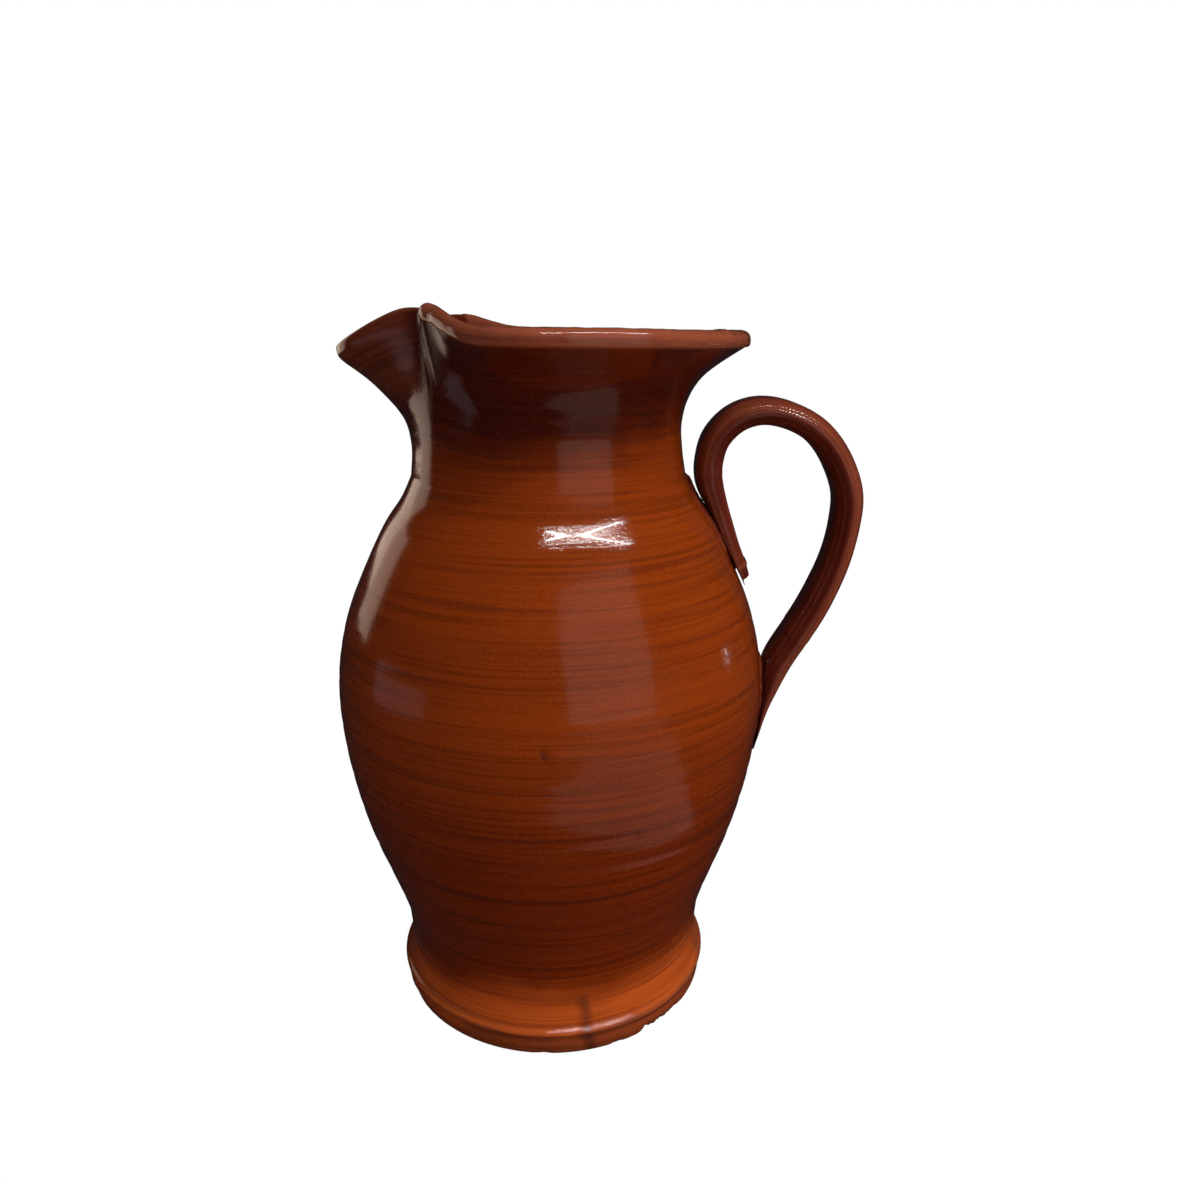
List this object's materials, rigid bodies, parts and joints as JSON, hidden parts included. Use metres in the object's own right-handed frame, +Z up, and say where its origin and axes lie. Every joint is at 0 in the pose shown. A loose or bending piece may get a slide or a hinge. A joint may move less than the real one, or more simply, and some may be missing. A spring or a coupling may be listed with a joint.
{
  "type": "ceramic pitcher",
  "caption": "Hand-thrown glazed pitcher with a flat foot, full belly, narrow neck, flared rim pinched into a pouring spout, and a pulled strap handle.",
  "frame": {"origin": "centre of the flat base, on the axis of the wheel, at the height of the table", "axes": "+Z up, the spout points along -X, the handle stands along +X, +Y completes the right-handed frame"},
  "size_m": [0.2059, 0.17, 0.2785],
  "materials": {
    "amber_glaze": "glossy amber-brown glaze with fine brush streaks",
    "dark_glaze": "glossy dark oxblood glaze, thick",
    "red_glaze": "glossy red-brown glaze",
    "bare_clay": "matt unglazed terracotta"
  },
  "bodies": {
    "root": {"foot_ring": "amber_glaze", "floor_disc": "bare_clay", "belly_wall": "amber_glaze", "neck_wall": "dark_glaze", "flared_rim": "dark_glaze", "rolled_lip": "red_glaze", "pouring_spout": "red_glaze", "spout_seams": "red_glaze", "handle_arch": "red_glaze", "handle_tail": "red_glaze", "handle_foot": "red_glaze", "upper_slip": "dark_glaze", "lower_slip": "dark_glaze"}
  },
  "joints": []
}
